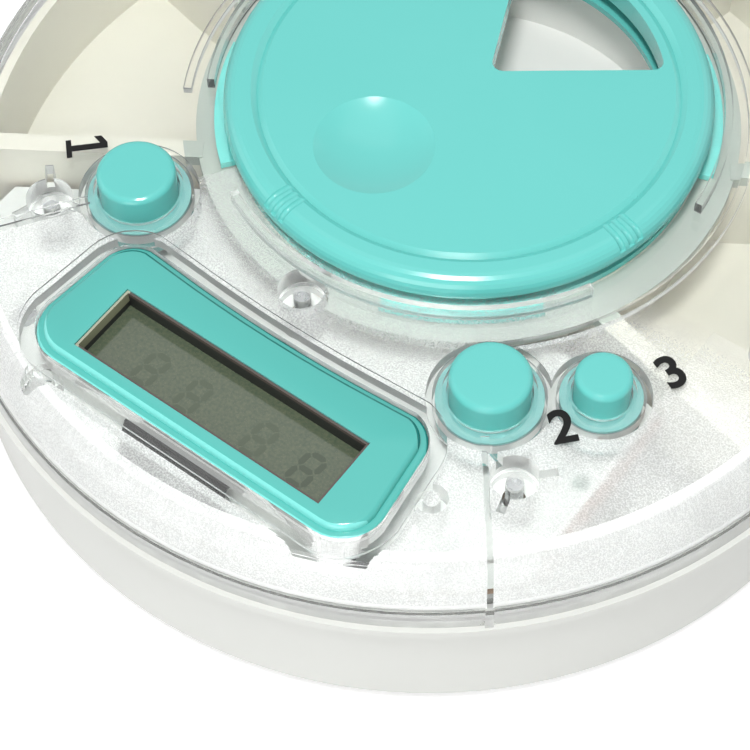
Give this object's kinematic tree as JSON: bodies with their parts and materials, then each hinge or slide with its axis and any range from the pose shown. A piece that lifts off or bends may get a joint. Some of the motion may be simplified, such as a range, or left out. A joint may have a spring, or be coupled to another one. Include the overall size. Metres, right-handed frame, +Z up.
{
  "type": "automatic pill dispenser",
  "caption": "Round tabletop pill dispenser with a clear cover, a turning lid over a motor-driven carousel, a display and three push buttons.",
  "frame": {"origin": "on the surface the dispenser stands on, under the middle of the round case", "axes": "+Z up along the case's axis, -Y towards the user and the display, +X to the user's right"},
  "size_m": [0.144, 0.144, 0.0402],
  "materials": {
    "white_plastic": "glossy moulded off-white",
    "foot_rubber": "matte",
    "cream_plastic": "satin moulded cream",
    "steel": "bright plated",
    "brass": "turned",
    "clear_plastic": "clear moulded plastic, glossy",
    "teal_plastic": "glossy moulded turquoise",
    "gear_plastic": "satin acetal",
    "black_plastic": "satin",
    "board": "paper-based laminate",
    "display_glass": "grey-green display glass",
    "cell_jacket": "plain shrink jacket"
  },
  "bodies": {
    "case": {"base_shell": "white_plastic", "rubber_feet": "foot_rubber", "inner_tray": "cream_plastic", "tray_screws": "steel", "spindle_bush": "brass", "top_cover": "clear_plastic", "case_screws": "steel", "home_sensor": "black_plastic", "idler_pin": "steel", "drive_motor": "steel", "motor_screws": "steel", "main_pcb": "board", "pcb_screws": "steel", "controller_chip": "black_plastic", "buzzer": "black_plastic", "tact_switches": "black_plastic", "lcd_frame": "black_plastic", "lcd_panel": "display_glass", "lcd_connector": "foot_rubber", "lcd_bezel": "teal_plastic", "display_ribbon": "black_plastic", "batteries": "cell_jacket", "battery_contacts": "steel"},
    "lid": {"dial_lid": "teal_plastic", "dial_retainer": "teal_plastic", "retainer_screws": "steel"},
    "carousel": {"pill_carousel": "cream_plastic", "carousel_spindle": "steel", "carousel_gear": "gear_plastic", "index_magnet": "steel"},
    "idler": {"idler_gear": "gear_plastic"},
    "rotor": {"motor_shaft": "steel", "motor_pinion": "brass"},
    "left_button": {"button_1": "teal_plastic", "switch_plunger_1": "black_plastic"},
    "right_button": {"button_2": "teal_plastic", "switch_plunger_2": "black_plastic"},
    "small_button": {"button_3": "teal_plastic", "switch_plunger_3": "black_plastic"},
    "door": {"battery_door": "white_plastic"}
  },
  "joints": [
    {"name": "lid_turn", "type": "hinge", "parent": "case", "child": "lid", "pos_m": [0, 0.0104, 0.038], "axis": [0, 0, 1], "continuous": true},
    {"name": "carousel_turn", "type": "hinge", "parent": "case", "child": "carousel", "pos_m": [0, 0.0104, 0.018], "axis": [0, 0, 1], "continuous": true},
    {"name": "idler_turn", "type": "hinge", "parent": "case", "child": "idler", "pos_m": [0.01437, -0.02041, 0.013], "axis": [0, 0, 1], "continuous": true},
    {"name": "rotor_turn", "type": "hinge", "parent": "case", "child": "rotor", "pos_m": [0.02113, -0.03492, 0.013], "axis": [0, 0, 1], "continuous": true},
    {"name": "left_press", "type": "slide", "parent": "case", "child": "left_button", "axis": [0, 0, -1], "range_m": [0, 0.001], "stiffness_N_per_m": 1500, "springref_m": -0.0004},
    {"name": "right_press", "type": "slide", "parent": "case", "child": "right_button", "axis": [0, 0, -1], "range_m": [0, 0.001], "stiffness_N_per_m": 1500, "springref_m": -0.0004},
    {"name": "small_press", "type": "slide", "parent": "case", "child": "small_button", "axis": [0, 0, -1], "range_m": [0, 0.001], "stiffness_N_per_m": 1500, "springref_m": -0.0004},
    {"name": "door_slide", "type": "slide", "parent": "case", "child": "door", "axis": [0, 1, 0], "range_m": [0, 0.03]}
  ],
  "couplings": [
    {"joint": "idler_turn", "follows": "carousel_turn", "ratio": -2.4},
    {"joint": "rotor_turn", "follows": "carousel_turn", "ratio": 4}
  ]
}
